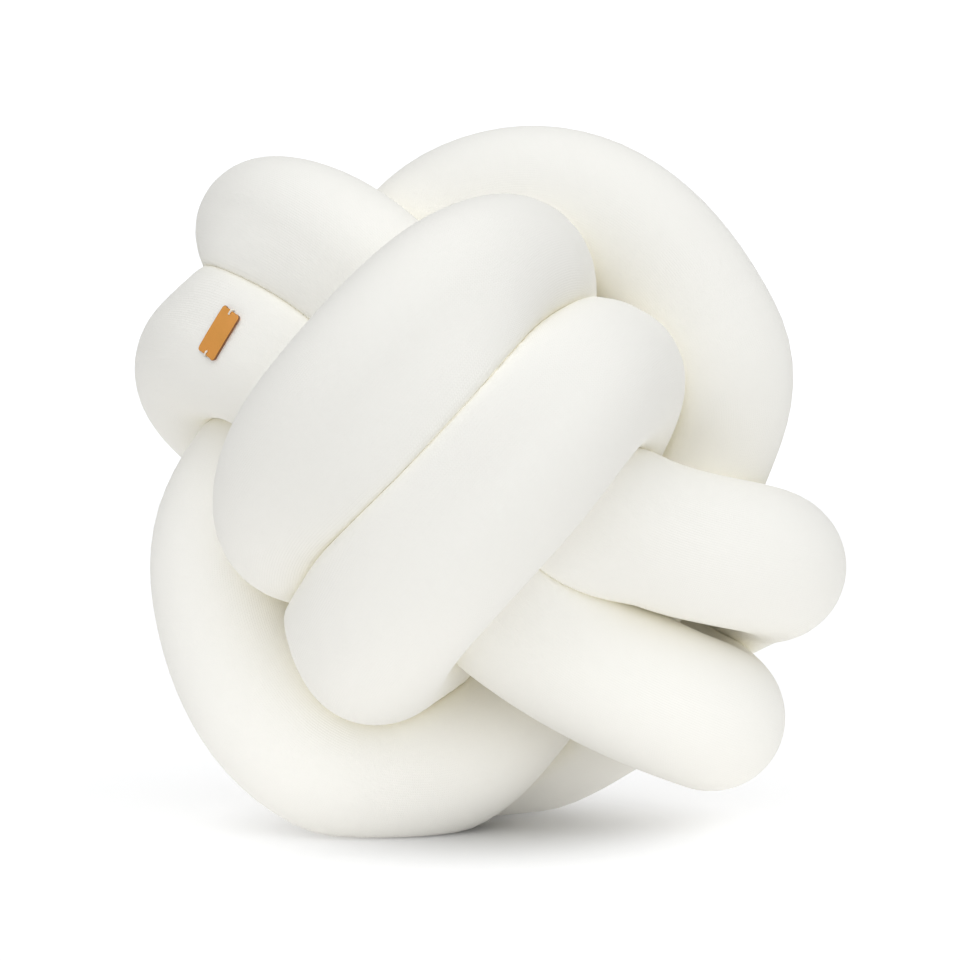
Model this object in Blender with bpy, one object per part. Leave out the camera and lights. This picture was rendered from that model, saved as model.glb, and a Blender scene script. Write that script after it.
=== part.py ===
"""Knot cushion: one long filled jersey tube tied as a ball, with a small leather tab sewn on it.

The tube makes three bands that cross one another, each of two turns side by side. The front
band goes over the side band, the side band goes over the rim band, and the rim band goes over
the front band. Both ends of the tube are tucked into the middle.

+X is to the right, +Y to the back and +Z up. The origin is on the floor, below the middle.
"""
from math import copysign, cos, pi, radians, sin

import bmesh
import bpy
import numpy as np
from mathutils import Vector
from mathutils.bvhtree import BVHTree

MM = 0.001
FAR = 1.0                   # metres, well outside the ball

# The tube
SAMPLE_STEP = 10.5 * MM     # between the points of the centre line
RING_EVERY = 2              # one ring of the surface for each so many points
BEVEL_STEPS = 10            # gives 24 sides
TUBE_END = 26 * MM          # length of the rounded end
END_RINGS = (0.6 * MM, 4 * MM, 11 * MM)     # closer rings near each end
EVEN_RINGS_FROM = 15 * MM
TURN_GAP = 1.6 * MM         # left between two turns that press on each other
PRESS_SHARPNESS = 24        # higher turns a softly rounded edge of contact into a crisp one
SWELL = 0.8                 # bulge beside a firm contact, as a share of the radius
FIRM = 0.09                 # a contact is firm when this share of the radius is pressed flat
SOFT_START = 1.4            # higher lets the bulge begin more softly
ALIKE = 4                   # higher keeps the bulge to turns that run side by side
DIVE = 0.5                  # squared sine of the steepest dive into the ball with a bulge
REACH = 4                   # turns further apart than this many radii don't touch
FLOOR_PRESS = 9 * MM        # how far the resting turns are pressed flat by the floor

# How the turns push one another into place
NEIGHBOUR = 128 * MM        # points closer than this along the tube don't push each other
SNUG = 0.87                 # turns are pushed apart to this share of touching round
SETTLE_ROUNDS = 220
SETTLE_RATE = 0.5
STIFFNESS = 23 * MM         # a push is spread over this length of tube
BEND = 0.39                 # reach of a curve's handle, as a share of the way to the next pass

# The leather tab and its two stitches
TAB_LENGTH = 25 * MM
TAB_WIDTH = 12.4 * MM
TAB_THICKNESS = 1.5 * MM
TAB_CORNER = 1.8 * MM
TAB_DIP = 0.7 * MM          # how far each end is drawn in by its stitch
DIP_POWER = 6               # higher keeps the dip closer to the end
TAB_COLUMNS = 14
TAB_ROWS = 4
CORNER_SPAN = 4 / TAB_COLUMNS   # two columns go round each corner
TAB_TURN = radians(58)      # of its long axis from +X, seen from the front
TAB_RIGHT = -130.5 * MM     # its middle, from the ball's middle
TAB_UP = 72 * MM
SEAT = 0.33 * MM            # between pieces that touch
SEAT_SAMPLES = np.linspace(-0.6, 0.6, 9)    # where the tube's depth is read, in lengths and widths
STITCH_RADIUS = 0.5 * MM
STITCH_SIDES = 2            # bevel steps, for 8 sides
STITCH_INSIDE = 2.2 * MM    # from the tab's end to where the thread comes up
STITCH_OUTSIDE = 1.3 * MM   # from the tab's end to where the thread goes down
STITCH_COURSE = (
    # outward, as a share of the two lengths above, and up, as a share of the tab's thickness
    (-1.0, 1.0),
    (-0.4, 1.07),
    (0.3, 1.0),
    (0.9, 0.5),
    (1.0, 0.0),
)

# How firmly a pass stays where it was laid while the turns settle: right, back, up
HOLD = {
    "seen": (0.20, 0.008, 0.20),
    "side": (0.03, 0.03, 0.03),
    "inner": (0.004, 0.004, 0.004),
}

# Each pass of the tube in the order in which it is tied, in millimetres from the ball's middle
PASSES = (
    # name, right, back, up, radius, hold
    ("start, tucked in", -30, 15, 5, 30, "inner"),
    ("rim 1 under side, low", 50, -10, -60, 33, "inner"),
    ("rim 1 right, low", 108, -10, 17, 36, "seen"),
    ("rim 1 right", 106, -35, 75, 38, "seen"),
    ("rim 1 top", 14, -35, 140, 38, "seen"),
    ("rim 1 under side, high", -85, -10, 55, 33, "inner"),
    ("rim 1 left", -132, -30, -53, 38, "seen"),
    ("rim 1 bottom", -62, -35, -142, 38, "seen"),
    ("rim 2 under side, low", 50, 42, -60, 33, "inner"),
    ("rim 2 right", 112, 37, 70, 38, "side"),
    ("rim 2 top", 20, 37, 140, 38, "side"),
    ("rim 2 under side, high", -75, 50, 60, 33, "inner"),
    ("rim 2 left", -130, 40, -47, 38, "side"),
    ("rim 2 bottom", -48, 42, -135, 38, "side"),
    ("over to the side band", 13, 50, -137, 38, "seen"),
    ("side 1 low, behind", 87, 50, -108, 37, "side"),
    ("side 1 low", 111, -5, -119, 38, "seen"),
    ("side 1 under front, low", 4, -80, -60, 36, "seen"),
    ("side 1 under front, high", -95, -80, 50, 36, "side"),
    ("side 1 high", -141, -25, 65, 35, "seen"),
    ("side 1 high, behind", -131, 75, 29, 36, "seen"),
    ("side 2 under back", -35, 88, -15, 33, "inner"),
    ("side 2 low, behind", 95, 85, -42, 37, "side"),
    ("side 2 low", 140, 0, -40, 37, "seen"),
    ("side 2 under front, low", 51, -80, -9, 36, "seen"),
    ("side 2 under front, high", -65, -80, 105, 36, "side"),
    ("side 2 high", -113, -22, 130, 35, "seen"),
    ("side 2 high, behind", -98, 78, 106, 37, "side"),
    ("over to the front band", -48, 132, 80, 38, "side"),
    ("back 1", -45, 155, 18, 38, "side"),
    ("back 1, low", -93, 100, -42, 36, "side"),
    ("front 1 inside rim, low", -65, 15, -30, 33, "inner"),
    ("front 1, low", -91, -88, -8, 38, "seen"),
    ("front 1", -56, -156, 43, 40, "seen"),
    ("front 1, high", 2, -95, 97, 36, "seen"),
    ("front 1 inside rim, high", 20, 15, 50, 33, "inner"),
    ("back 2, high", 65, 105, 50, 36, "side"),
    ("back 2", 15, 155, -20, 38, "side"),
    ("back 2, low", -45, 100, -88, 36, "side"),
    ("front 2 inside rim, low", -35, 15, -70, 33, "inner"),
    ("front 2, low", -54, -92, -71, 38, "seen"),
    ("front 2", -1, -156, -3, 40, "seen"),
    ("front 2, high", 49, -95, 46, 36, "seen"),
    ("front 2 inside rim, high", 50, -10, 10, 33, "inner"),
    ("turned back", 35, 60, 5, 30, "inner"),
    ("under back, high", -5, 88, 35, 30, "inner"),
    ("end, tucked in", -40, 85, 68, 30, "inner"),
)

# Linear colours
JERSEY = (0.86, 0.84, 0.80, 1.0)
LEATHER = (0.60, 0.27, 0.07, 1.0)
THREAD = (0.84, 0.80, 0.70, 1.0)


def clear_scene():
    for thing in list(bpy.data.objects):
        bpy.data.objects.remove(thing, do_unlink=True)


def material(name, color, roughness):
    made = bpy.data.materials.new(name)
    made.use_nodes = True
    shader = made.node_tree.nodes["Principled BSDF"]
    shader.inputs["Base Color"].default_value = color
    shader.inputs["Roughness"].default_value = roughness
    shader.inputs["Metallic"].default_value = 0.0
    return made


def unit(vectors):
    return vectors / np.linalg.norm(vectors, axis=-1, keepdims=True)


def curve_through(knots, others, steps=16):
    """A smooth curve through the first three columns, with the others eased along it."""
    ways = np.diff(knots, axis=0)
    lengths = np.linalg.norm(ways, axis=1)
    headings = unit(ways)
    tangents = unit(np.vstack([headings[:1], headings[:-1] + headings[1:], headings[-1:]]))
    share = np.linspace(0, 1, steps, endpoint=False)[:, None]
    rest = 1 - share
    eased = share * share * (3 - 2 * share)
    points = []
    columns = []
    for i, length in enumerate(lengths):
        leave = knots[i] + tangents[i] * BEND * length
        arrive = knots[i + 1] - tangents[i + 1] * BEND * length
        points.append(
            rest ** 3 * knots[i]
            + 3 * rest ** 2 * share * leave
            + 3 * rest * share ** 2 * arrive
            + share ** 3 * knots[i + 1]
        )
        columns.append(others[i] + (others[i + 1] - others[i]) * eased)
    return np.vstack(points + [knots[-1:]]), np.vstack(columns + [others[-1:]])


def distances_along(points):
    steps = np.linalg.norm(np.diff(points, axis=0), axis=1)
    return np.concatenate([[0], np.cumsum(steps)])


def read_at(places, along, columns):
    return np.stack([np.interp(places, along, column) for column in columns.T], axis=1)


def settle(points, radii, hold, step):
    """Turns that are too close push each other apart, and held passes go back to their place."""
    count = len(points)
    index = np.arange(count)
    apart = np.abs(index[:, None] - index[None, :]) * step
    touching = np.where(apart > NEIGHBOUR, (radii[:, None] + radii[None, :]) * SNUG, 0.0)
    spread = np.exp(-0.5 * (apart / STIFFNESS) ** 2)
    spread /= spread.sum(axis=1, keepdims=True)
    laid = points.copy()
    for _ in range(SETTLE_ROUNDS):
        away = points[:, None, :] - points[None, :, :]
        distance = np.linalg.norm(away, axis=2) + np.eye(count)
        overlap = np.maximum(touching - distance, 0.0)
        push = (away * (overlap ** 2 / distance)[:, :, None]).sum(axis=1)
        points = points + SETTLE_RATE * 0.5 * push / (overlap.sum(axis=1)[:, None] + 1e-9)
        points = points + (laid - points) * hold
        points = laid + spread @ (points - laid)
    return points


def centre_line():
    """Points, radii and distances along the settled tube."""
    table = np.array([row[1:5] for row in PASSES], float) * MM
    holds = np.array([HOLD[row[5]] for row in PASSES])
    points, columns = curve_through(table[:, :3], np.column_stack([table[:, 3], holds]))
    along = distances_along(points)
    places = np.linspace(0, along[-1], int(along[-1] / SAMPLE_STEP) + 1)
    points = read_at(places, along, points)
    columns = read_at(places, along, columns)
    points = settle(points, columns[:, 0], columns[:, 1:], places[1])
    return points, columns[:, 0], places


def pressed_radii(centres, directions, places, radii, line):
    """How far each ring reaches in each direction before it meets the half-way plane to a turn.

    Where two turns lie side by side and press on each other, each is fuller beside the contact.
    """
    line_points, line_radii, line_places = line
    ways = line_points[None, :, :] - centres[:, None, :]
    distance = np.linalg.norm(ways, axis=2)
    far = np.abs(places[:, None] - line_places[None, :]) > NEIGHBOUR
    near = far & (distance < REACH * radii.max())
    distance = np.maximum(distance, MM)
    ways /= distance[:, :, None]
    half_way = (distance ** 2 + radii[:, None] ** 2 - line_radii[None, :] ** 2) / (2 * distance)
    flat = np.clip((1 - half_way / radii[:, None]) / FIRM, 0, 1) ** SOFT_START
    headings = unit(np.gradient(centres, axis=0))
    line_headings = unit(np.gradient(line_points, axis=0))
    flat *= (headings @ line_headings.T) ** ALIKE
    steepness = (headings * unit(centres)).sum(axis=1)
    flat *= np.clip(1 - steepness[:, None] ** 2 / DIVE, 0, 1)
    result = np.empty(directions.shape[:2])
    for i, ring in enumerate(directions):
        facing = ring @ ways[i][near[i]].T
        room = np.where(facing > MM, half_way[i][near[i]] / np.maximum(facing, MM), FAR)
        limit = np.maximum(room.min(axis=1) - TURN_GAP / 2, MM)
        bulge = (np.maximum(facing, 0) ** 2 * flat[i][near[i]]).max(axis=1)
        swelled = radii[i] * (1 + SWELL * bulge)
        result[i] = (swelled ** -PRESS_SHARPNESS + limit ** -PRESS_SHARPNESS) ** (-1 / PRESS_SHARPNESS)
    return result


def round_mesh(name, points, radii, bevel_steps):
    """A mesh of one ring of vertices for each point, closed at both ends."""
    data = bpy.data.curves.new(name, "CURVE")
    data.dimensions = "3D"
    data.bevel_depth = 1.0
    data.bevel_resolution = bevel_steps
    spline = data.splines.new("POLY")
    spline.points.add(len(points) - 1)
    for knot, place, radius in zip(spline.points, points, radii):
        knot.co = (*place, 1.0)
        knot.radius = radius
    guide = bpy.data.objects.new(name, data)
    bpy.context.collection.objects.link(guide)
    shape = guide.evaluated_get(bpy.context.evaluated_depsgraph_get())
    mesh = bpy.data.meshes.new_from_object(shape)
    bpy.data.objects.remove(guide)
    mesh.name = name
    work = bmesh.new()
    work.from_mesh(mesh)
    rims = [edge for edge in work.edges if edge.is_boundary]
    bmesh.ops.holes_fill(work, edges=rims)
    bmesh.ops.recalc_face_normals(work, faces=work.faces)
    work.to_mesh(mesh)
    work.free()
    return mesh


def add_object(name, mesh, surface):
    made = bpy.data.objects.new(name, mesh)
    mesh.materials.append(surface)
    mesh.shade_smooth()
    bpy.context.collection.objects.link(made)
    return made


def tube():
    """The knotted tube, and where the ball's middle lies once the tube rests on the floor."""
    points, radii, places = centre_line()
    total = places[-1]
    inner = places[RING_EVERY:-1:RING_EVERY]
    ends = np.array(END_RINGS)
    inner = inner[(inner > EVEN_RINGS_FROM) & (inner < total - EVEN_RINGS_FROM)]
    rings = np.concatenate([ends, inner, (total - ends)[::-1]])
    centres = read_at(rings, places, points)
    full = np.interp(rings, places, radii)
    from_end = np.minimum(np.minimum(rings, total - rings) / TUBE_END, 1.0)
    rounding = np.sqrt(1 - (1 - from_end) ** 2)
    mesh = round_mesh("knotted_tube", centres, full, BEVEL_STEPS)
    spots = np.array([tuple(vertex.co) for vertex in mesh.vertices])
    spots = spots.reshape(len(rings), -1, 3)
    directions = unit(spots - centres[:, None, :])
    reach = pressed_radii(centres, directions, rings, full, (points, radii, places))
    spots = centres[:, None, :] + directions * (reach * rounding[:, None])[:, :, None]
    spots = spots.reshape(-1, 3)
    low = spots.min(axis=0)
    high = spots.max(axis=0)
    middle = -np.array([(low[0] + high[0]) / 2, (low[1] + high[1]) / 2, low[2] + FLOOR_PRESS])
    spots += middle
    spots[:, 2] = np.maximum(spots[:, 2], 0.0)
    mesh.vertices.foreach_set("co", spots.ravel())
    mesh.update()
    return add_object("knotted_tube", mesh, material("jersey", JERSEY, 0.9)), Vector(middle)


class TabSeat:
    """A smooth patch on the tube's front, addressed along and across the tab."""

    def __init__(self, tube_object, middle):
        self.centre = middle + Vector((TAB_RIGHT, 0, TAB_UP))
        tree = BVHTree.FromObject(tube_object, bpy.context.evaluated_depsgraph_get())
        along, across = np.meshgrid(SEAT_SAMPLES * TAB_LENGTH, SEAT_SAMPLES * TAB_WIDTH)
        right = (along * cos(TAB_TURN) - across * sin(TAB_TURN)).ravel()
        up = (along * sin(TAB_TURN) + across * cos(TAB_TURN)).ravel()
        starts = [self.centre + Vector((x, -FAR, z)) for x, z in zip(right, up)]
        depths = np.array([tree.ray_cast(start, Vector((0, 1, 0)))[3] - FAR for start in starts])
        terms = self.terms(right, up)
        self.shape = np.linalg.lstsq(terms, depths, rcond=None)[0]
        self.shape[0] -= (terms @ self.shape - depths).max()
        right_slope, up_slope = self.shape[1:3]
        outward = Vector((right_slope, -1, up_slope)).normalized()
        fall = cos(TAB_TURN) * right_slope + sin(TAB_TURN) * up_slope
        self.along = Vector((cos(TAB_TURN), fall, sin(TAB_TURN))).normalized()
        self.across = outward.cross(self.along)

    @staticmethod
    def terms(right, up):
        """The terms of a quadratic surface."""
        ones = np.ones_like(right)
        return np.stack([ones, right, up, right ** 2, right * up, up ** 2], axis=-1)

    def on_patch(self, along, across):
        spot = along * self.along + across * self.across
        depth = self.terms(np.float64(spot.x), np.float64(spot.z)) @ self.shape
        return self.centre + Vector((spot.x, float(depth), spot.z))

    def point(self, along, across, height):
        """The point at this height above the patch."""
        here = self.on_patch(along, across)
        ahead = self.on_patch(along + MM, across) - here
        aside = self.on_patch(along, across + MM) - here
        return here + ahead.cross(aside).normalized() * height


def tab_spot(along, across):
    """Where a point of the square from -1 to 1 lies on the flat tab."""
    turn = min((1 - abs(along)) / CORNER_SPAN, 1.0) * pi / 2
    if abs(along) > 1 - CORNER_SPAN:
        reach = TAB_LENGTH / 2 - TAB_CORNER * (1 - cos(turn))
    else:
        reach = (TAB_LENGTH / 2 - TAB_CORNER) * abs(along) / (1 - CORNER_SPAN)
    half_width = TAB_WIDTH / 2 - TAB_CORNER * (1 - sin(turn))
    dip = TAB_DIP * (1 - across ** 2) * abs(along) ** DIP_POWER
    return copysign(reach - dip, along), across * half_width


def tab(seat):
    work = bmesh.new()
    bmesh.ops.create_grid(work, x_segments=TAB_COLUMNS, y_segments=TAB_ROWS, size=1.0)
    for vertex in work.verts:
        vertex.co.x, vertex.co.y = tab_spot(vertex.co.x, vertex.co.y)
    grown = bmesh.ops.extrude_face_region(work, geom=work.faces[:])
    above = [item for item in grown["geom"] if isinstance(item, bmesh.types.BMVert)]
    bmesh.ops.translate(work, vec=(0, 0, TAB_THICKNESS), verts=above)
    for vertex in work.verts:
        vertex.co = seat.point(vertex.co.x, vertex.co.y, SEAT + vertex.co.z)
    bmesh.ops.recalc_face_normals(work, faces=work.faces)
    mesh = bpy.data.meshes.new("leather_tab")
    work.to_mesh(mesh)
    work.free()
    return add_object("leather_tab", mesh, material("leather", LEATHER, 0.55))


def stitch(name, seat, end):
    """One thread from the tab's top over its drawn-in end to the cloth; end is +1 or -1."""
    rim = TAB_LENGTH / 2 - TAB_DIP
    low = SEAT + STITCH_RADIUS
    points = []
    for outward, up in STITCH_COURSE:
        along = rim + outward * (STITCH_OUTSIDE if outward > 0 else STITCH_INSIDE)
        height = low + (SEAT + TAB_THICKNESS) * up
        points.append(seat.point(end * along, 0.0, height))
    mesh = round_mesh(name, points, [STITCH_RADIUS] * len(points), STITCH_SIDES)
    return add_object(name, mesh, material("thread", THREAD, 0.8))


def main():
    clear_scene()
    knotted_tube, middle = tube()
    seat = TabSeat(knotted_tube, middle)
    tab(seat)
    stitch("tab_stitch_upper", seat, 1)
    stitch("tab_stitch_lower", seat, -1)


main()
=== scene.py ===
"""Knot cushion: the jersey tube, the leather tab and its stitches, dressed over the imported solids.

One long filled jersey tube makes three bands that cross one another, each of two turns side by
side. The passes below are those of the solid tube, so the fine tube lies where the solid does.
+X is to the right, +Y to the back and +Z up, and all sizes are in metres unless a name says mm.
"""
from math import copysign, cos, pi, radians, sin

import bmesh
import bpy
import numpy as np
from bpy.props import FloatProperty, FloatVectorProperty, IntProperty, PointerProperty
from bpy.types import Operator, Panel, PropertyGroup
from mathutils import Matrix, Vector, noise
from mathutils.bvhtree import BVHTree


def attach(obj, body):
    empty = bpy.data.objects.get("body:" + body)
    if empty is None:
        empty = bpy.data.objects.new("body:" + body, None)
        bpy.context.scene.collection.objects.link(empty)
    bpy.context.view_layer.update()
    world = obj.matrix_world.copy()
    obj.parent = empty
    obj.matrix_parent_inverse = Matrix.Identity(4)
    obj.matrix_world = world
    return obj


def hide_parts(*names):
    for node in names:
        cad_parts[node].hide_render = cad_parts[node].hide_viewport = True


bl_info = {
    "name": "Knot cushion",
    "version": (1, 0, 0),
    "blender": (4, 5, 0),
    "location": "3D View > Sidebar > Knot cushion",
    "description": "Makes a knotted jersey cushion with a leather tab, and a white studio",
    "category": "Object",
}

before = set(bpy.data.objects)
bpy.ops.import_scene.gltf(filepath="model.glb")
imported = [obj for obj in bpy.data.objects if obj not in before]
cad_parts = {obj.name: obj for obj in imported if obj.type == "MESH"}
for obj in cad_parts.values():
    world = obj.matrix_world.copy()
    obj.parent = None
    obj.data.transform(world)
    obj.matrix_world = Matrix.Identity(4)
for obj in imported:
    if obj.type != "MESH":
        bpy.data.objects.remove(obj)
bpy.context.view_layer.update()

MM = 0.001
BALL_MIDDLE = Vector((3.1, 7.0, 174.7)) * MM    # where the ball's middle lies above the floor
FAR = 1.0                   # well outside the ball

# How the turns push one another into place, as in the solid
SAMPLE_STEP = 10.5 * MM     # between the points of the centre line
NEIGHBOUR = 128 * MM        # points closer than this along the tube don't push each other
SNUG = 0.87                 # turns are pushed apart to this share of touching round
SETTLE_ROUNDS = 220
SETTLE_RATE = 0.5
STIFFNESS = 23 * MM         # a push is spread over this length of tube
BEND = 0.39                 # reach of a curve's handle, as a share of the way to the next pass
CURVE_STEPS = 16            # points laid between two passes
NO_OVERLAP = 1e-9           # keeps a turn that nothing pushes from dividing by nothing
HOLD = {
    # how far each round takes a pass back to its place: right, back, up
    "seen": (0.20, 0.008, 0.20),
    "side": (0.03, 0.03, 0.03),
    "inner": (0.004, 0.004, 0.004),
}

# Each pass of the tube in the order in which it is tied, in millimetres from the ball's middle
PASSES = (
    # name, right, back, up, radius, hold
    ("start, tucked in", -30, 15, 5, 30, "inner"),
    ("rim 1 under side, low", 50, -10, -60, 33, "inner"),
    ("rim 1 right, low", 108, -10, 17, 36, "seen"),
    ("rim 1 right", 106, -35, 75, 38, "seen"),
    ("rim 1 top", 14, -35, 140, 38, "seen"),
    ("rim 1 under side, high", -85, -10, 55, 33, "inner"),
    ("rim 1 left", -132, -30, -53, 38, "seen"),
    ("rim 1 bottom", -62, -35, -142, 38, "seen"),
    ("rim 2 under side, low", 50, 42, -60, 33, "inner"),
    ("rim 2 right", 112, 37, 70, 38, "side"),
    ("rim 2 top", 20, 37, 140, 38, "side"),
    ("rim 2 under side, high", -75, 50, 60, 33, "inner"),
    ("rim 2 left", -130, 40, -47, 38, "side"),
    ("rim 2 bottom", -48, 42, -135, 38, "side"),
    ("over to the side band", 13, 50, -137, 38, "seen"),
    ("side 1 low, behind", 87, 50, -108, 37, "side"),
    ("side 1 low", 111, -5, -119, 38, "seen"),
    ("side 1 under front, low", 4, -80, -60, 36, "seen"),
    ("side 1 under front, high", -95, -80, 50, 36, "side"),
    ("side 1 high", -141, -25, 65, 35, "seen"),
    ("side 1 high, behind", -131, 75, 29, 36, "seen"),
    ("side 2 under back", -35, 88, -15, 33, "inner"),
    ("side 2 low, behind", 95, 85, -42, 37, "side"),
    ("side 2 low", 140, 0, -40, 37, "seen"),
    ("side 2 under front, low", 51, -80, -9, 36, "seen"),
    ("side 2 under front, high", -65, -80, 105, 36, "side"),
    ("side 2 high", -113, -22, 130, 35, "seen"),
    ("side 2 high, behind", -98, 78, 106, 37, "side"),
    ("over to the front band", -48, 132, 80, 38, "side"),
    ("back 1", -45, 155, 18, 38, "side"),
    ("back 1, low", -93, 100, -42, 36, "side"),
    ("front 1 inside rim, low", -65, 15, -30, 33, "inner"),
    ("front 1, low", -91, -88, -8, 38, "seen"),
    ("front 1", -56, -156, 43, 40, "seen"),
    ("front 1, high", 2, -95, 97, 36, "seen"),
    ("front 1 inside rim, high", 20, 15, 50, 33, "inner"),
    ("back 2, high", 65, 105, 50, 36, "side"),
    ("back 2", 15, 155, -20, 38, "side"),
    ("back 2, low", -45, 100, -88, 36, "side"),
    ("front 2 inside rim, low", -35, 15, -70, 33, "inner"),
    ("front 2, low", -54, -92, -71, 38, "seen"),
    ("front 2", -1, -156, -3, 40, "seen"),
    ("front 2, high", 49, -95, 46, 36, "seen"),
    ("front 2 inside rim, high", 50, -10, 10, 33, "inner"),
    ("turned back", 35, 60, 5, 30, "inner"),
    ("under back, high", -5, 88, 35, 30, "inner"),
    ("end, tucked in", -40, 85, 68, 30, "inner"),
)


class TubeSettings(PropertyGroup):
    """Sizes and finish of the knotted jersey tube."""

    ring_step: FloatProperty(
        name="Ring step", description="Distance between two rings of the surface",
        default=7 * MM, min=2 * MM, unit="LENGTH",
    )
    sides: IntProperty(name="Sides", description="Sides of the tube", default=128, min=8)
    press: FloatProperty(
        name="Press", description="How far two touching turns press into each other",
        default=0.3 * MM, min=0.0, unit="LENGTH",
    )
    lump: FloatProperty(
        name="Unevenness", description="How far the filling swells the cloth in and out",
        default=0.5 * MM, min=0.0, unit="LENGTH",
    )
    lump_size: FloatProperty(
        name="Size of a swelling", description="Distance over which the filling varies",
        default=60 * MM, min=5 * MM, unit="LENGTH",
    )
    wale: FloatProperty(
        name="Wale", description="Width of one column of knit stitches",
        default=1.2 * MM, unit="LENGTH",
    )
    course: FloatProperty(
        name="Course", description="Height of one row of knit stitches",
        default=0.9 * MM, unit="LENGTH",
    )
    colour: FloatVectorProperty(
        name="Jersey", description="Colour of the cloth", subtype="COLOR",
        default=(0.915, 0.898, 0.845), min=0.0, max=1.0,
    )
    # painted light: the cloth deep between two turns is made lighter and warmer, standing in for
    # light passed on between the turns
    painted_crease_light: FloatVectorProperty(
        name="Jersey in a crease", description="Colour of the cloth deep between two turns",
        subtype="COLOR", default=(0.95, 0.93, 0.85), min=0.0, max=1.0,
    )


class TabSettings(PropertyGroup):
    """Sizes and finish of the sewn leather tab and of its thread."""

    length: FloatProperty(
        name="Length", description="Length of the tab", default=25 * MM, unit="LENGTH",
    )
    width: FloatProperty(
        name="Width", description="Width of the tab", default=12.4 * MM, unit="LENGTH",
    )
    thickness: FloatProperty(
        name="Thickness", description="Thickness of the leather", default=1.5 * MM, unit="LENGTH",
    )
    corner: FloatProperty(
        name="Corner", description="Radius of the tab's corners", default=1.8 * MM, unit="LENGTH",
    )
    dip: FloatProperty(
        name="Dip", description="How far each end is drawn in by its stitch",
        default=0.7 * MM, unit="LENGTH",
    )
    turn: FloatProperty(
        name="Turn", description="Angle of the long axis from level, seen from the front",
        default=radians(58), subtype="ANGLE",
    )
    colour: FloatVectorProperty(
        name="Leather", description="Colour of the leather's face", subtype="COLOR",
        default=(0.74, 0.31, 0.06), min=0.0, max=1.0,
    )
    edge_colour: FloatVectorProperty(
        name="Cut edge", description="Colour of the leather's cut edge", subtype="COLOR",
        default=(0.16, 0.06, 0.02), min=0.0, max=1.0,
    )
    thread_radius: FloatProperty(
        name="Thread", description="Radius of the whole thread", default=0.5 * MM, unit="LENGTH",
    )
    thread_colour: FloatVectorProperty(
        name="Thread colour", description="Colour of the sewing thread", subtype="COLOR",
        default=(0.90, 0.86, 0.76), min=0.0, max=1.0,
    )


class StudioSettings(PropertyGroup):
    """Camera, floor and light."""

    distance: FloatProperty(
        name="Camera distance", description="From the ball's middle to the camera",
        default=1.368, unit="LENGTH",
    )
    all_round: FloatProperty(
        name="Light all round", description="Strength of the white room on every side", default=0.18,
    )
    front: FloatProperty(
        name="Front light", description="Strength of the broad soft light in front", default=1.74,
    )
    behind: FloatProperty(
        name="Backdrop", description="Strength of the white backdrop behind", default=1.0,
    )
    floor_glow: FloatProperty(
        name="Floor glow", description="How much the white floor lights itself", default=0.6,
    )


# ---- the course of the tube

def unit(vectors):
    return vectors / np.linalg.norm(vectors, axis=-1, keepdims=True)


def curve_through(knots, others):
    """A smooth curve through the knots, with the other columns eased along it."""
    ways = np.diff(knots, axis=0)
    lengths = np.linalg.norm(ways, axis=1)
    headings = unit(ways)
    tangents = unit(np.vstack([headings[:1], headings[:-1] + headings[1:], headings[-1:]]))
    share = np.linspace(0, 1, CURVE_STEPS, endpoint=False)[:, None]
    rest = 1 - share
    eased = share * share * (3 - 2 * share)
    points = []
    columns = []
    for i, length in enumerate(lengths):
        leave = knots[i] + tangents[i] * BEND * length
        arrive = knots[i + 1] - tangents[i + 1] * BEND * length
        points.append(
            rest ** 3 * knots[i]
            + 3 * rest ** 2 * share * leave
            + 3 * rest * share ** 2 * arrive
            + share ** 3 * knots[i + 1]
        )
        columns.append(others[i] + (others[i + 1] - others[i]) * eased)
    return np.vstack(points + [knots[-1:]]), np.vstack(columns + [others[-1:]])


def read_at(places, along, columns):
    return np.stack([np.interp(places, along, column) for column in columns.T], axis=1)


def settle(points, radii, hold, step):
    """Turns that are too close push each other apart, and held passes go back to their place."""
    count = len(points)
    index = np.arange(count)
    apart = np.abs(index[:, None] - index[None, :]) * step
    touching = np.where(apart > NEIGHBOUR, (radii[:, None] + radii[None, :]) * SNUG, 0.0)
    spread = np.exp(-0.5 * (apart / STIFFNESS) ** 2)
    spread /= spread.sum(axis=1, keepdims=True)
    laid = points.copy()
    for _ in range(SETTLE_ROUNDS):
        away = points[:, None, :] - points[None, :, :]
        distance = np.linalg.norm(away, axis=2) + np.eye(count)
        overlap = np.maximum(touching - distance, 0.0)
        push = (away * (overlap ** 2 / distance)[:, :, None]).sum(axis=1)
        points = points + SETTLE_RATE * 0.5 * push / (overlap.sum(axis=1)[:, None] + NO_OVERLAP)
        points = points + (laid - points) * hold
        points = laid + spread @ (points - laid)
    return points


def centre_line():
    """Evenly spaced points of the settled tube, their radii, and the step between them."""
    table = np.array([row[1:5] for row in PASSES], float) * MM
    holds = np.array([HOLD[row[5]] for row in PASSES])
    points, columns = curve_through(table[:, :3], np.column_stack([table[:, 3], holds]))
    steps = np.linalg.norm(np.diff(points, axis=0), axis=1)
    along = np.concatenate([[0], np.cumsum(steps)])
    places = np.linspace(0, along[-1], int(along[-1] / SAMPLE_STEP) + 1)
    points = read_at(places, along, points)
    columns = read_at(places, along, columns)
    points = settle(points, columns[:, 0], columns[:, 1:], places[1])
    return points, columns[:, 0], places[1]


def between(places, step, rows):
    """Values between evenly spaced rows, on a cubic through the four nearest rows."""
    index = np.clip((places / step).astype(int), 1, len(rows) - 3)
    share = (places / step - index)[:, None]
    before, here, ahead, beyond = (rows[index + k] for k in (-1, 0, 1, 2))
    third = 3 * (here - ahead) + beyond - before
    second = 2 * before - 5 * here + 4 * ahead - beyond
    return here + 0.5 * share * (ahead - before + share * (second + share * third))


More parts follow.
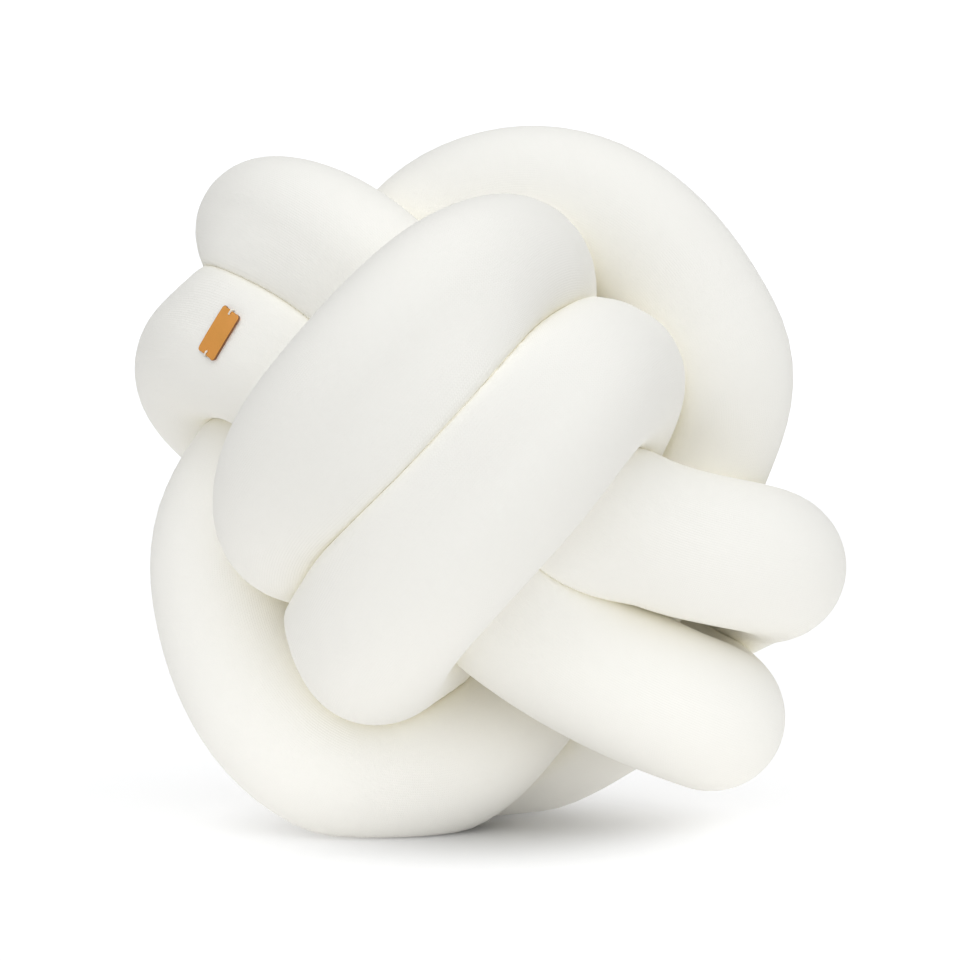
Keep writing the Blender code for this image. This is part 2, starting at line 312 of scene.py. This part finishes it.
def pressed_radii(centres, directions, places, radii, press):
    """How far each ring reaches in each direction, and how far it could reach.

    It can reach the half-way plane to another turn. Where two turns lie side by side and press on
    each other, each is fuller beside the contact.
    """
    ways = centres[None, :, :] - centres[:, None, :]
    distance = np.linalg.norm(ways, axis=2)
    far = np.abs(places[:, None] - places[None, :]) > NEIGHBOUR
    near = far & (distance < REACH * radii.max())
    distance = np.maximum(distance, MM)
    ways /= distance[:, :, None]
    half_way = (distance ** 2 + radii[:, None] ** 2 - radii[None, :] ** 2) / (2 * distance)
    flat = np.clip((1 - half_way / radii[:, None]) / FIRM, 0, 1) ** SOFT_START
    headings = unit(np.gradient(centres, axis=0))
    flat *= (headings @ headings.T) ** ALIKE
    steepness = (headings * unit(centres)).sum(axis=1)
    flat *= np.clip(1 - steepness[:, None] ** 2 / DIVE, 0, 1)
    reach = np.empty(directions.shape[:2])
    limit = np.empty(directions.shape[:2])
    for i, ring in enumerate(directions):
        facing = ring @ ways[i][near[i]].T
        room = np.where(facing > MM, half_way[i][near[i]] / np.maximum(facing, MM), FAR)
        limit[i] = room.min(axis=1) + press
        bulge = (np.maximum(facing, 0) ** 2 * flat[i][near[i]]).max(axis=1)
        swelled = radii[i] * (1 + SWELL * bulge)
        both = swelled ** -PRESS_SHARPNESS + limit[i] ** -PRESS_SHARPNESS
        reach[i] = both ** (-1 / PRESS_SHARPNESS)
    return reach, limit


# ---- meshes

def add_piece(name, mesh, surfaces):
    """A shown piece at the origin, unturned, which rides with the cushion."""
    for surface in surfaces:
        mesh.materials.append(surface)
    mesh.shade_smooth()
    piece = bpy.data.objects.new(name, mesh)
    bpy.context.collection.objects.link(piece)
    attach(piece, "root")
    return piece


def ring_directions(centres, sides):
    """Directions from each ring's centre to its vertices, carried along the line untwisted."""
    headings = unit(np.gradient(centres, axis=0))
    turns = np.arange(sides) * 2 * pi / sides
    across = np.cross(headings[0], (0.0, 0.0, 1.0))
    rows = []
    for heading in headings:
        across = unit(across - (across @ heading) * heading)
        up = np.cross(heading, across)
        rows.append(np.cos(turns)[:, None] * across + np.sin(turns)[:, None] * up)
    return np.array(rows)


def ring_mesh(name, spots):
    """One ring of vertices for each row, closed at both ends."""
    rings, sides = spots.shape[:2]
    ring, side = np.mgrid[:rings - 1, :sides]
    here = ring * sides
    ahead = here + sides
    next_side = (side + 1) % sides
    walls = np.stack([here + side, here + next_side, ahead + next_side, ahead + side], axis=-1)
    numbers = np.arange(rings * sides).reshape(rings, sides)
    faces = walls.reshape(-1, 4).tolist() + [numbers[0, ::-1].tolist(), numbers[-1].tolist()]
    mesh = bpy.data.meshes.new(name)
    mesh.from_pydata(spots.reshape(-1, 3).tolist(), [], faces)
    return mesh


def cloth_map(mesh, places, sides, girth):
    """The piece's own map: round the tube and along it, in metres of cloth."""
    ring, side = np.mgrid[:len(places) - 1, :sides]
    around = np.stack([side, side + 1, side + 1, side], axis=-1).ravel() * girth / sides
    along = places[np.stack([ring, ring, ring + 1, ring + 1], axis=-1)].ravel()
    walls = np.column_stack([around, along])
    both_ends = np.zeros((2 * sides, 2))
    layer = mesh.uv_layers.new(name="cloth")
    layer.uv.foreach_set("vector", np.vstack([walls, both_ends]).ravel())


# ---- materials

CLOUD_DETAIL = 3.0          # of the soft unevenness that every finish has
JERSEY_CLOUDS = 14.0        # scales of the noises: higher is finer
JERSEY_FUZZ = 2200.0
JERSEY_SHADE = 0.985        # the darkest cloth, as a share of its colour
STITCH_SLANT = -0.7         # rise of a stitch's leg, in courses
LOOP_SWING = 0.25           # how much a stitch's height changes along its leg, and its mean
LOOP_MEAN = 0.7
GROOVE_POWER = 4.0          # higher narrows the groove between two columns
FUZZ_SHARE = 0.4
JERSEY_RELIEF = 0.12 * MM
LEATHER_CLOUDS = 90.0
LEATHER_PORES = 1900.0
LEATHER_GRAIN = 900.0
LEATHER_SHADE = (0.86, 0.92, 0.8)   # the darkest leather, as shares of its red, green and blue
PORE_EDGE = 0.12            # from a pore's edge, where the grain levels out
GRAIN_SHARE = 0.1
LEATHER_RELIEF = 0.25 * MM
LEATHER_ROUGHNESS = 0.42    # of its smoothest spots, and how much rougher the others are
LEATHER_ROUGHER = 0.2
EDGE_CLOUDS = 400.0
EDGE_LIGHTER = 1.8          # the lightest cut fibres, as a multiple of the edge's colour
EDGE_RELIEF = 0.1 * MM
THREAD_CLOUDS = 900.0
THREAD_FIBRES = 4000.0
THREAD_SHADE = 0.9
THREAD_RELIEF = 0.05 * MM


class NodeSet:
    """The nodes of a material or a world, with short ways to add and join them."""

    def __init__(self, owner):
        self.owner = owner
        owner.use_nodes = True
        self.tree = owner.node_tree

    def node(self, kind, **values):
        made = self.tree.nodes.new("ShaderNode" + kind)
        for key, value in values.items():
            setattr(made, key, value)
        return made

    def feed(self, socket, value):
        if isinstance(value, bpy.types.NodeSocket):
            self.tree.links.new(value, socket)
        else:
            socket.default_value = value

    def math(self, operation, *values):
        made = self.node("Math", operation=operation)
        for socket, value in zip(made.inputs, values):
            self.feed(socket, value)
        return made.outputs[0]

    def fade(self, value, start, end, full):
        """Rises softly from 0 at the start to full at the end."""
        made = self.node("MapRange", interpolation_type="SMOOTHSTEP")
        numbers = {"Value": value, "From Min": start, "From Max": end, "To Max": full}
        for name, number in numbers.items():
            self.feed(made.inputs[name], number)
        return made.outputs["Result"]


class Surface(NodeSet):
    """A material with its shader."""

    def __init__(self, name, **plain):
        super().__init__(bpy.data.materials.new(name))
        self.shader = self.tree.nodes["Principled BSDF"]
        for socket, value in plain.items():
            self.shader.inputs[socket.replace("_", " ")].default_value = value

    def blend(self, share, first, second):
        made = self.node("Mix", data_type="RGBA")
        self.feed(made.inputs[0], share)
        self.feed(made.inputs[6], first)
        self.feed(made.inputs[7], second)
        return made.outputs[2]

    def noise(self, scale):
        made = self.node("TexNoise")
        self.feed(made.inputs["Vector"], self.node("TexCoord").outputs["Object"])
        made.inputs["Scale"].default_value = scale
        return made.outputs["Fac"]

    def group(self, tree, **values):
        made = self.node("Group", node_tree=tree)
        for name, value in values.items():
            self.feed(made.inputs[name], value)
        return made.outputs

    def bump(self, height, distance, strength):
        made = self.node("Bump")
        made.inputs["Distance"].default_value = distance
        made.inputs["Strength"].default_value = strength
        self.feed(made.inputs["Height"], height)
        self.feed(self.shader.inputs["Normal"], made.outputs["Normal"])


def uneven_group():
    """A node group: soft cloudy changes of colour, and of roughness, over a surface."""
    group = bpy.data.node_groups.new("soft_unevenness", "ShaderNodeTree")
    for name, kind, way in (
        ("Scale", "NodeSocketFloat", "INPUT"),
        ("Colour", "NodeSocketColor", "INPUT"),
        ("Other colour", "NodeSocketColor", "INPUT"),
        ("Colour", "NodeSocketColor", "OUTPUT"),
        ("Share", "NodeSocketFloat", "OUTPUT"),
    ):
        group.interface.new_socket(name, in_out=way, socket_type=kind)
    nodes, links = group.nodes, group.links
    inside = nodes.new("NodeGroupInput")
    outside = nodes.new("NodeGroupOutput")
    place = nodes.new("ShaderNodeTexCoord")
    cloud = nodes.new("ShaderNodeTexNoise")
    cloud.inputs["Detail"].default_value = CLOUD_DETAIL
    mix = nodes.new("ShaderNodeMix")
    mix.data_type = "RGBA"
    links.new(place.outputs["Object"], cloud.inputs["Vector"])
    links.new(inside.outputs["Scale"], cloud.inputs["Scale"])
    links.new(cloud.outputs["Fac"], mix.inputs[0])
    links.new(inside.outputs["Colour"], mix.inputs[6])
    links.new(inside.outputs["Other colour"], mix.inputs[7])
    links.new(mix.outputs[2], outside.inputs["Colour"])
    links.new(cloud.outputs["Fac"], outside.inputs["Share"])
    return group


def unevenness():
    return bpy.data.node_groups.get("soft_unevenness") or uneven_group()


def opaque(colour):
    return (*colour, 1.0)


def shaded(colour, share):
    """The colour times one share, or times a share for each channel."""
    return opaque(np.multiply(colour, share).tolist())


def jersey(settings):
    """Fine knit cloth: columns of small V stitches along the tube, with painted light deep in a
    crease that makes the cloth lighter and warmer.
    """
    cloth = Surface(
        "jersey", Roughness=0.9, Sheen_Weight=0.05, Sheen_Roughness=0.5, Specular_IOR_Level=0.2,
    )
    own = cloth.node("UVMap", uv_map="cloth")
    split = cloth.node("SeparateXYZ")
    cloth.feed(split.inputs[0], own.outputs[0])
    column = cloth.math("FRACT", cloth.math("DIVIDE", split.outputs["X"], settings.wale))
    leg = cloth.math("ABSOLUTE", cloth.math("MULTIPLY_ADD", column, 2.0, -1.0))
    row = cloth.math("DIVIDE", split.outputs["Y"], settings.course)
    slanted = cloth.math("MULTIPLY_ADD", leg, STITCH_SLANT, row)
    wave = cloth.math("COSINE", cloth.math("MULTIPLY", slanted, 2 * pi))
    loops = cloth.math("MULTIPLY_ADD", wave, LOOP_SWING, LOOP_MEAN)
    groove = cloth.math("SUBTRACT", 1.0, cloth.math("POWER", leg, GROOVE_POWER))
    stitches = cloth.math("MULTIPLY", loops, groove)
    fuzz = cloth.noise(JERSEY_FUZZ)
    cloth.bump(cloth.math("MULTIPLY_ADD", fuzz, FUZZ_SHARE, stitches), JERSEY_RELIEF, 0.6)
    tint = cloth.group(unevenness(), **{
        "Scale": JERSEY_CLOUDS,
        "Colour": opaque(settings.colour),
        "Other colour": shaded(settings.colour, JERSEY_SHADE),
    })
    # painted light: lighter, warmer cloth deep in each crease, standing in for light passed on
    # between the turns
    crease = cloth.node("Attribute", attribute_name="crease").outputs["Fac"]
    colour = cloth.blend(crease, tint["Colour"], opaque(settings.painted_crease_light))
    cloth.feed(cloth.shader.inputs["Base Color"], colour)
    return cloth.owner


def leather(settings):
    """The smooth grain side of vegetable-tanned leather."""
    hide = Surface("leather", Specular_IOR_Level=0.4, Coat_Weight=0.08, Coat_Roughness=0.35)
    tint = hide.group(unevenness(), **{
        "Scale": LEATHER_CLOUDS,
        "Colour": opaque(settings.colour),
        "Other colour": shaded(settings.colour, LEATHER_SHADE),
    })
    cells = hide.node("TexVoronoi", feature="DISTANCE_TO_EDGE")
    hide.feed(cells.inputs["Vector"], hide.node("TexCoord").outputs["Object"])
    cells.inputs["Scale"].default_value = LEATHER_PORES
    pores = hide.math("MINIMUM", cells.outputs["Distance"], PORE_EDGE)
    grain = hide.math("MULTIPLY_ADD", hide.noise(LEATHER_GRAIN), GRAIN_SHARE, pores)
    hide.bump(grain, LEATHER_RELIEF, 0.5)
    hide.feed(hide.shader.inputs["Base Color"], tint["Colour"])
    rough = hide.math("MULTIPLY_ADD", tint["Share"], LEATHER_ROUGHER, LEATHER_ROUGHNESS)
    hide.feed(hide.shader.inputs["Roughness"], rough)
    return hide.owner


def cut_edge(settings):
    """The darker, burnished cut edge of the leather."""
    edge = Surface("leather_edge", Roughness=0.5, Specular_IOR_Level=0.4)
    tint = edge.group(unevenness(), **{
        "Scale": EDGE_CLOUDS,
        "Colour": opaque(settings.edge_colour),
        "Other colour": shaded(settings.edge_colour, EDGE_LIGHTER),
    })
    edge.bump(tint["Share"], EDGE_RELIEF, 0.5)
    edge.feed(edge.shader.inputs["Base Color"], tint["Colour"])
    return edge.owner


def thread(settings):
    """Waxed two-ply sewing thread."""
    ply = Surface("thread", Roughness=0.7, Sheen_Weight=0.2, Specular_IOR_Level=0.3)
    tint = ply.group(unevenness(), **{
        "Scale": THREAD_CLOUDS,
        "Colour": opaque(settings.thread_colour),
        "Other colour": shaded(settings.thread_colour, THREAD_SHADE),
    })
    ply.bump(ply.noise(THREAD_FIBRES), THREAD_RELIEF, 0.6)
    ply.feed(ply.shader.inputs["Base Color"], tint["Colour"])
    return ply.owner


# ---- the pieces

TUBE_END = 26 * MM          # length of the tube's rounded end
END_RINGS = (0.3 * MM, 1.2 * MM, 3 * MM, 6 * MM, 10 * MM, 15 * MM)     # closer near each end
EVEN_RINGS_FROM = 20 * MM   # from each end
PRESS_SHARPNESS = 45        # higher turns a softly rounded edge of contact into a crisp one
SWELL = 0.8                 # bulge beside a firm contact, as a share of the radius
FIRM = 0.09                 # a contact is firm when this share of the radius is pressed flat
SOFT_START = 1.4            # higher lets the bulge begin more softly
ALIKE = 4                   # higher keeps the bulge to turns that run side by side
DIVE = 0.5                  # squared sine of the steepest dive into the ball with a bulge
REACH = 4                   # turns further apart than this many radii don't touch
FLOOR_ROUND = 1.5 * MM      # how softly the tube turns into its flat spot on the floor
LUMP_FREE = 6 * MM          # the swellings die out this close to the half-way plane
CREASE_LIGHT_REACH = 4 * MM       # from the half-way plane, how far the painted light of a crease goes, which makes the cloth lighter and warmer
WALES = 200                 # columns of stitches round the tube


class KNOTCUSHION_OT_make_tube(Operator):
    """Make the knotted jersey tube"""

    bl_idname = "knot_cushion.make_tube"
    bl_label = "Jersey tube"

    def execute(self, context):
        settings = context.scene.knot_tube
        points, radii, step = centre_line()
        total = step * (len(points) - 1)
        ends = np.array(END_RINGS)
        middle = np.arange(EVEN_RINGS_FROM, total - EVEN_RINGS_FROM, settings.ring_step)
        places = np.concatenate([ends, middle, (total - ends)[::-1]])
        centres = between(places, step, points)
        full = between(places, step, radii[:, None])[:, 0]
        directions = ring_directions(centres, settings.sides)
        spots = centres[:, None, :] + directions * full[:, None, None]
        lumps = [noise.noise(spot / settings.lump_size) for spot in spots.reshape(-1, 3)]
        reach, limit = pressed_radii(centres, directions, places, full, settings.press)
        from_end = np.minimum(np.minimum(places, total - places) / TUBE_END, 1.0)
        reach *= np.sqrt(1 - (1 - from_end) ** 2)[:, None]
        free = np.clip((limit - reach) / LUMP_FREE, 0, 1)
        reach += settings.lump * free * np.reshape(lumps, reach.shape)
        spots = centres[:, None, :] + directions * reach[:, :, None] + np.array(BALL_MIDDLE)
        height = spots[:, :, 2]
        spots[:, :, 2] = (height + np.sqrt(height ** 2 + FLOOR_ROUND ** 2)) / 2
        spots[:, :, 2] -= spots[:, :, 2].min()
        mesh = ring_mesh("jersey_tube", spots)
        # painted light in the creases: 1 where two turns meet, fading out within the reach
        crease = np.exp(-np.maximum(limit - reach, 0) / CREASE_LIGHT_REACH)
        mesh.attributes.new("crease", "FLOAT", "POINT").data.foreach_set("value", crease.ravel())
        cloth_map(mesh, places, settings.sides, WALES * settings.wale)
        piece = add_piece("jersey_tube", mesh, [jersey(settings)])
        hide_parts("knotted_tube")
        return {"FINISHED"}


TAB_RIGHT = -130.5 * MM     # the tab's middle, from the ball's middle
TAB_UP = 72 * MM
SEAT = 0.15 * MM            # between pieces that touch
SEAT_SAMPLES = np.linspace(-0.6, 0.6, 9)    # where the cloth's depth is read, in lengths and widths
EDGE_ROUND = 0.25 * MM      # of the leather's cut edge
EDGE_STEPS = 3
DIP_POWER = 6               # higher keeps the dip of an end closer to it
TAB_COLUMNS = 28
TAB_ROWS = 10
CORNER_SPAN = 8 / TAB_COLUMNS   # four columns go round each corner
STITCH_INSIDE = 2.2 * MM    # from the tab's end to where the thread comes up
STITCH_OUTSIDE = 1.3 * MM   # from the tab's end to where the thread goes down
STITCH_COURSE = (
    # outward, as a share of the two lengths above, and up, as a share of the tab's thickness
    (-1.0, 0.8),
    (-0.6, 1.0),
    (-0.1, 1.0),
    (0.3, 0.87),
    (0.7, 0.5),
    (0.9, 0.0),
    (1.0, -0.35),
)
STITCH_STEPS = 40
PLY_TURNS = 3               # how often the two plies go round each other in one stitch
PLY_OFFSET = 0.48           # as a share of the whole thread's radius
PLY_RADIUS = 0.56
PLY_SIDES = 10


class TabSeat:
    """A smooth patch on the tube's front, addressed along and across the tab."""

    def __init__(self, tab):
        self.centre = BALL_MIDDLE + Vector((TAB_RIGHT, 0, TAB_UP))
        cloth = bpy.data.objects["jersey_tube"]
        tree = BVHTree.FromObject(cloth, bpy.context.evaluated_depsgraph_get())
        along, across = np.meshgrid(SEAT_SAMPLES * tab.length, SEAT_SAMPLES * tab.width)
        right = (along * cos(tab.turn) - across * sin(tab.turn)).ravel()
        up = (along * sin(tab.turn) + across * cos(tab.turn)).ravel()
        starts = [self.centre + Vector((x, -FAR, z)) for x, z in zip(right, up)]
        depths = np.array([tree.ray_cast(start, Vector((0, 1, 0)))[3] - FAR for start in starts])
        terms = self.terms(right, up)
        self.shape = np.linalg.lstsq(terms, depths, rcond=None)[0]
        self.shape[0] -= (terms @ self.shape - depths).max()
        right_slope, up_slope = self.shape[1:3]
        self.outward = Vector((right_slope, -1, up_slope)).normalized()
        fall = cos(tab.turn) * right_slope + sin(tab.turn) * up_slope
        self.along = Vector((cos(tab.turn), fall, sin(tab.turn))).normalized()
        self.across = self.outward.cross(self.along)

    @staticmethod
    def terms(right, up):
        """The terms of a quadratic surface."""
        ones = np.ones_like(right)
        return np.stack([ones, right, up, right ** 2, right * up, up ** 2], axis=-1)

    def on_patch(self, along, across):
        spot = along * self.along + across * self.across
        depth = self.terms(np.float64(spot.x), np.float64(spot.z)) @ self.shape
        return self.centre + Vector((spot.x, float(depth), spot.z))

    def point(self, along, across, height):
        """The point at this height above the patch."""
        here = self.on_patch(along, across)
        ahead = self.on_patch(along + MM, across) - here
        aside = self.on_patch(along, across + MM) - here
        return here + ahead.cross(aside).normalized() * height


def tab_spot(along, across, tab):
    """Where a point of the square from -1 to 1 lies on the flat tab."""
    turn = min((1 - abs(along)) / CORNER_SPAN, 1.0) * pi / 2
    if abs(along) > 1 - CORNER_SPAN:
        reach = tab.length / 2 - tab.corner * (1 - cos(turn))
    else:
        reach = (tab.length / 2 - tab.corner) * abs(along) / (1 - CORNER_SPAN)
    half_width = tab.width / 2 - tab.corner * (1 - sin(turn))
    dip = tab.dip * (1 - across ** 2) * abs(along) ** DIP_POWER
    return copysign(reach - dip, along), across * half_width


class KNOTCUSHION_OT_make_tab(Operator):
    """Make the leather tab that lies on the upper left turn"""

    bl_idname = "knot_cushion.make_tab"
    bl_label = "Leather tab"

    def execute(self, context):
        tab = context.scene.knot_tab
        seat = TabSeat(tab)
        work = bmesh.new()
        bmesh.ops.create_grid(work, x_segments=TAB_COLUMNS, y_segments=TAB_ROWS, size=1.0)
        for vertex in work.verts:
            vertex.co.x, vertex.co.y = tab_spot(vertex.co.x, vertex.co.y, tab)
        grown = bmesh.ops.extrude_face_region(work, geom=work.faces[:])
        above = [item for item in grown["geom"] if isinstance(item, bmesh.types.BMVert)]
        bmesh.ops.translate(work, vec=(0, 0, tab.thickness), verts=above)
        bmesh.ops.recalc_face_normals(work, faces=work.faces)
        work.normal_update()
        walls = [face for face in work.faces if abs(face.normal.z) < 0.5]
        for face in walls:
            face.material_index = 1
        rims = [
            edge for edge in work.edges
            if sum(face.material_index for face in edge.link_faces) == 1
        ]
        bmesh.ops.bevel(
            work, geom=rims, offset=EDGE_ROUND, segments=EDGE_STEPS, profile=0.5, affect="EDGES",
            material=-1,
        )
        for vertex in work.verts:
            vertex.co = seat.point(vertex.co.x, vertex.co.y, SEAT + vertex.co.z)
        bmesh.ops.recalc_face_normals(work, faces=work.faces)
        mesh = bpy.data.meshes.new("tab_leather")
        work.to_mesh(mesh)
        work.free()
        piece = add_piece("tab_leather", mesh, [leather(tab), cut_edge(tab)])
        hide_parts("leather_tab")
        return {"FINISHED"}


class KNOTCUSHION_OT_make_stitches(Operator):
    """Make the thread over each end of the tab"""

    bl_idname = "knot_cushion.make_stitches"
    bl_label = "Stitches"

    def execute(self, context):
        tab = context.scene.knot_tab
        seat = TabSeat(tab)
        surface = thread(tab)
        for name, end in (("upper", 1), ("lower", -1)):
            piece = self.stitch("thread_" + name, seat, tab, end, surface)
            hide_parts("tab_stitch_" + name)
        return {"FINISHED"}

    def stitch(self, name, seat, tab, end, surface):
        """Two plies twisted round each other, from the tab's face over its end to the cloth."""
        rim = tab.length / 2 - tab.dip
        low = SEAT + tab.thread_radius
        knots = []
        for outward, up in STITCH_COURSE:
            along = rim + outward * (STITCH_OUTSIDE if outward > 0 else STITCH_INSIDE)
            knots.append(tuple(seat.point(end * along, 0.0, low + tab.thickness * up)))
        line = between(np.linspace(0, len(knots) - 1, STITCH_STEPS), 1.0, np.array(knots))
        headings = unit(np.gradient(line, axis=0))
        side = unit(np.cross(headings, np.array(seat.outward)))
        up = np.cross(side, headings)
        work = bmesh.new()
        for ply in (0, 1):
            turns = np.linspace(0, PLY_TURNS, STITCH_STEPS) + 0.5 * ply
            angles = 2 * pi * turns[:, None]
            offset = (side * np.cos(angles) + up * np.sin(angles)) * tab.thread_radius * PLY_OFFSET
            centres = line + offset
            directions = ring_directions(centres, PLY_SIDES)
            spots = centres[:, None, :] + directions * tab.thread_radius * PLY_RADIUS
            mesh = ring_mesh(name, spots)
            work.from_mesh(mesh)
            bpy.data.meshes.remove(mesh)
        mesh = bpy.data.meshes.new(name)
        work.to_mesh(mesh)
        work.free()
        return add_piece(name, mesh, [surface])


# ---- the studio

PHOTO_SIZE = 960            # pixels on each side
PIXELS_PER_METRE = 148 / 0.076      # at the ball's middle
MIDDLE_PIXEL = (493, 484)   # where the ball's middle shows, from the upper left
SENSOR = 36                 # millimetres
FLOOR_RADIUS = 30           # metres, far beyond what the camera sees
FLOOR_SIDES = 96
FLOOR_SINK = 0.2 * MM       # keeps the floor just clear of the cushion
FRONT_LIGHT = Vector((0.1, -1.0, 0.9)).normalized()    # from a little right and above
LIGHT_BOUNCES = 12          # white cloth passes much light on into its creases
ROOM_COLOUR = (0.97, 0.983, 1.0, 1.0)   # a little cool
FRONT_FOCUS = 1.7           # higher narrows the front light
BACKDROP_EDGE = (0.8, 0.96)     # it fades in between these cosines of the angle from +Y
PAPER_COLOUR = (0.52, 0.52, 0.52, 1.0)
FLOOR_COLOUR = (0.2, 0.2, 0.2, 1.0)     # in front of the white paper, out of the picture
PAPER_EDGE = (-0.6, -0.43)  # the paper fades in between these places along Y
SHADOW_MIDDLE = (-5 * MM, 0, 0)     # where the paper's own glow is weakest
SHADOW_SHAPE = (1.35, 1.0, 1.0)     # distances from there count for more sideways
# The glow fades in between these distances. The first is below 0, so the middle glows a little
SHADOW_EDGE = (-15 * MM, 210 * MM)


class KNOTCUSHION_OT_make_studio(Operator):
    """Make the camera, the glowing white floor and the soft white room"""

    bl_idname = "knot_cushion.make_studio"
    bl_label = "Studio"

    def execute(self, context):
        studio = context.scene.knot_studio
        self.camera(context, studio)
        self.floor(context, studio)
        self.room(context, studio)
        return {"FINISHED"}

    def camera(self, context, studio):
        data = bpy.data.cameras.new("camera")
        data.sensor_width = SENSOR
        data.lens = SENSOR * PIXELS_PER_METRE * studio.distance / PHOTO_SIZE
        data.shift_x = -(MIDDLE_PIXEL[0] - PHOTO_SIZE / 2) / PHOTO_SIZE
        data.shift_y = (MIDDLE_PIXEL[1] - PHOTO_SIZE / 2) / PHOTO_SIZE
        camera = bpy.data.objects.new("camera", data)
        camera.location = BALL_MIDDLE + Vector((0, -studio.distance, 0))
        camera.rotation_euler = (pi / 2, 0, 0)
        context.collection.objects.link(camera)
        context.scene.camera = camera
        context.scene.view_settings.view_transform = "Standard"
        context.scene.cycles.diffuse_bounces = LIGHT_BOUNCES

    def floor(self, context, studio):
        work = bmesh.new()
        bmesh.ops.create_circle(work, cap_ends=True, segments=FLOOR_SIDES, radius=FLOOR_RADIUS)
        mesh = bpy.data.meshes.new("floor")
        work.to_mesh(mesh)
        work.free()
        paper = Surface("white_floor", Roughness=0.8, Specular_IOR_Level=0.1)
        paper.shader.inputs["Emission Color"].default_value = (1.0, 1.0, 1.0, 1.0)
        place = paper.node("NewGeometry").outputs["Position"]
        split = paper.node("SeparateXYZ")
        paper.feed(split.inputs[0], place)
        white = paper.fade(split.outputs["Y"], *PAPER_EDGE, 1.0)
        paper.feed(paper.shader.inputs["Base Color"], paper.blend(white, FLOOR_COLOUR, PAPER_COLOUR))
        apart = paper.node("VectorMath", operation="SUBTRACT")
        paper.feed(apart.inputs[0], place)
        paper.feed(apart.inputs[1], SHADOW_MIDDLE)
        shaped = paper.node("VectorMath", operation="MULTIPLY")
        paper.feed(shaped.inputs[0], apart.outputs["Vector"])
        paper.feed(shaped.inputs[1], SHADOW_SHAPE)
        distance = paper.node("VectorMath", operation="LENGTH")
        paper.feed(distance.inputs[0], shaped.outputs["Vector"])
        glow = paper.fade(distance.outputs["Value"], *SHADOW_EDGE, studio.floor_glow)
        paper.feed(paper.shader.inputs["Emission Strength"], paper.math("MULTIPLY", glow, white))
        mesh.materials.append(paper.owner)
        floor = bpy.data.objects.new("floor", mesh)
        floor.location.z = -FLOOR_SINK
        context.collection.objects.link(floor)

    def room(self, context, studio):
        room = NodeSet(bpy.data.worlds.new("white_room"))
        context.scene.world = room.owner
        way = room.node("TexCoord").outputs["Generated"]
        facing = []
        for direction in (FRONT_LIGHT, (0, 1, 0)):
            dot = room.node("VectorMath", operation="DOT_PRODUCT")
            room.feed(dot.inputs[0], way)
            room.feed(dot.inputs[1], direction)
            facing.append(dot.outputs["Value"])
        front = room.math("POWER", room.math("MAXIMUM", facing[0], 0.0), FRONT_FOCUS)
        light = room.math("MULTIPLY_ADD", front, studio.front, studio.all_round)
        backdrop = room.fade(facing[1], *BACKDROP_EDGE, studio.behind)
        back = room.tree.nodes["Background"]
        room.feed(back.inputs["Strength"], room.math("ADD", light, backdrop))
        back.inputs["Color"].default_value = ROOM_COLOUR


class KNOTCUSHION_PT_panel(Panel):
    """The sidebar's list of what can be made"""

    bl_idname = "KNOTCUSHION_PT_panel"
    bl_label = "Knot cushion"
    bl_space_type = "VIEW_3D"
    bl_region_type = "UI"
    bl_category = "Knot cushion"

    def draw(self, context):
        for operator in OPERATORS:
            self.layout.operator(operator.bl_idname)


SETTINGS = (
    ("knot_tube", TubeSettings),
    ("knot_tab", TabSettings),
    ("knot_studio", StudioSettings),
)
OPERATORS = (
    KNOTCUSHION_OT_make_tube,
    KNOTCUSHION_OT_make_tab,
    KNOTCUSHION_OT_make_stitches,
    KNOTCUSHION_OT_make_studio,
)


def register():
    for name, group in SETTINGS:
        bpy.utils.register_class(group)
        setattr(bpy.types.Scene, name, PointerProperty(type=group))
    for operator in OPERATORS:
        bpy.utils.register_class(operator)
    bpy.utils.register_class(KNOTCUSHION_PT_panel)


def unregister():
    bpy.utils.unregister_class(KNOTCUSHION_PT_panel)
    for operator in reversed(OPERATORS):
        bpy.utils.unregister_class(operator)
    for name, group in reversed(SETTINGS):
        delattr(bpy.types.Scene, name)
        bpy.utils.unregister_class(group)


def main():
    register()
    bpy.ops.knot_cushion.make_tube()
    bpy.ops.knot_cushion.make_tab()
    bpy.ops.knot_cushion.make_stitches()
    bpy.ops.knot_cushion.make_studio()


if __name__ == "__main__":
    main()
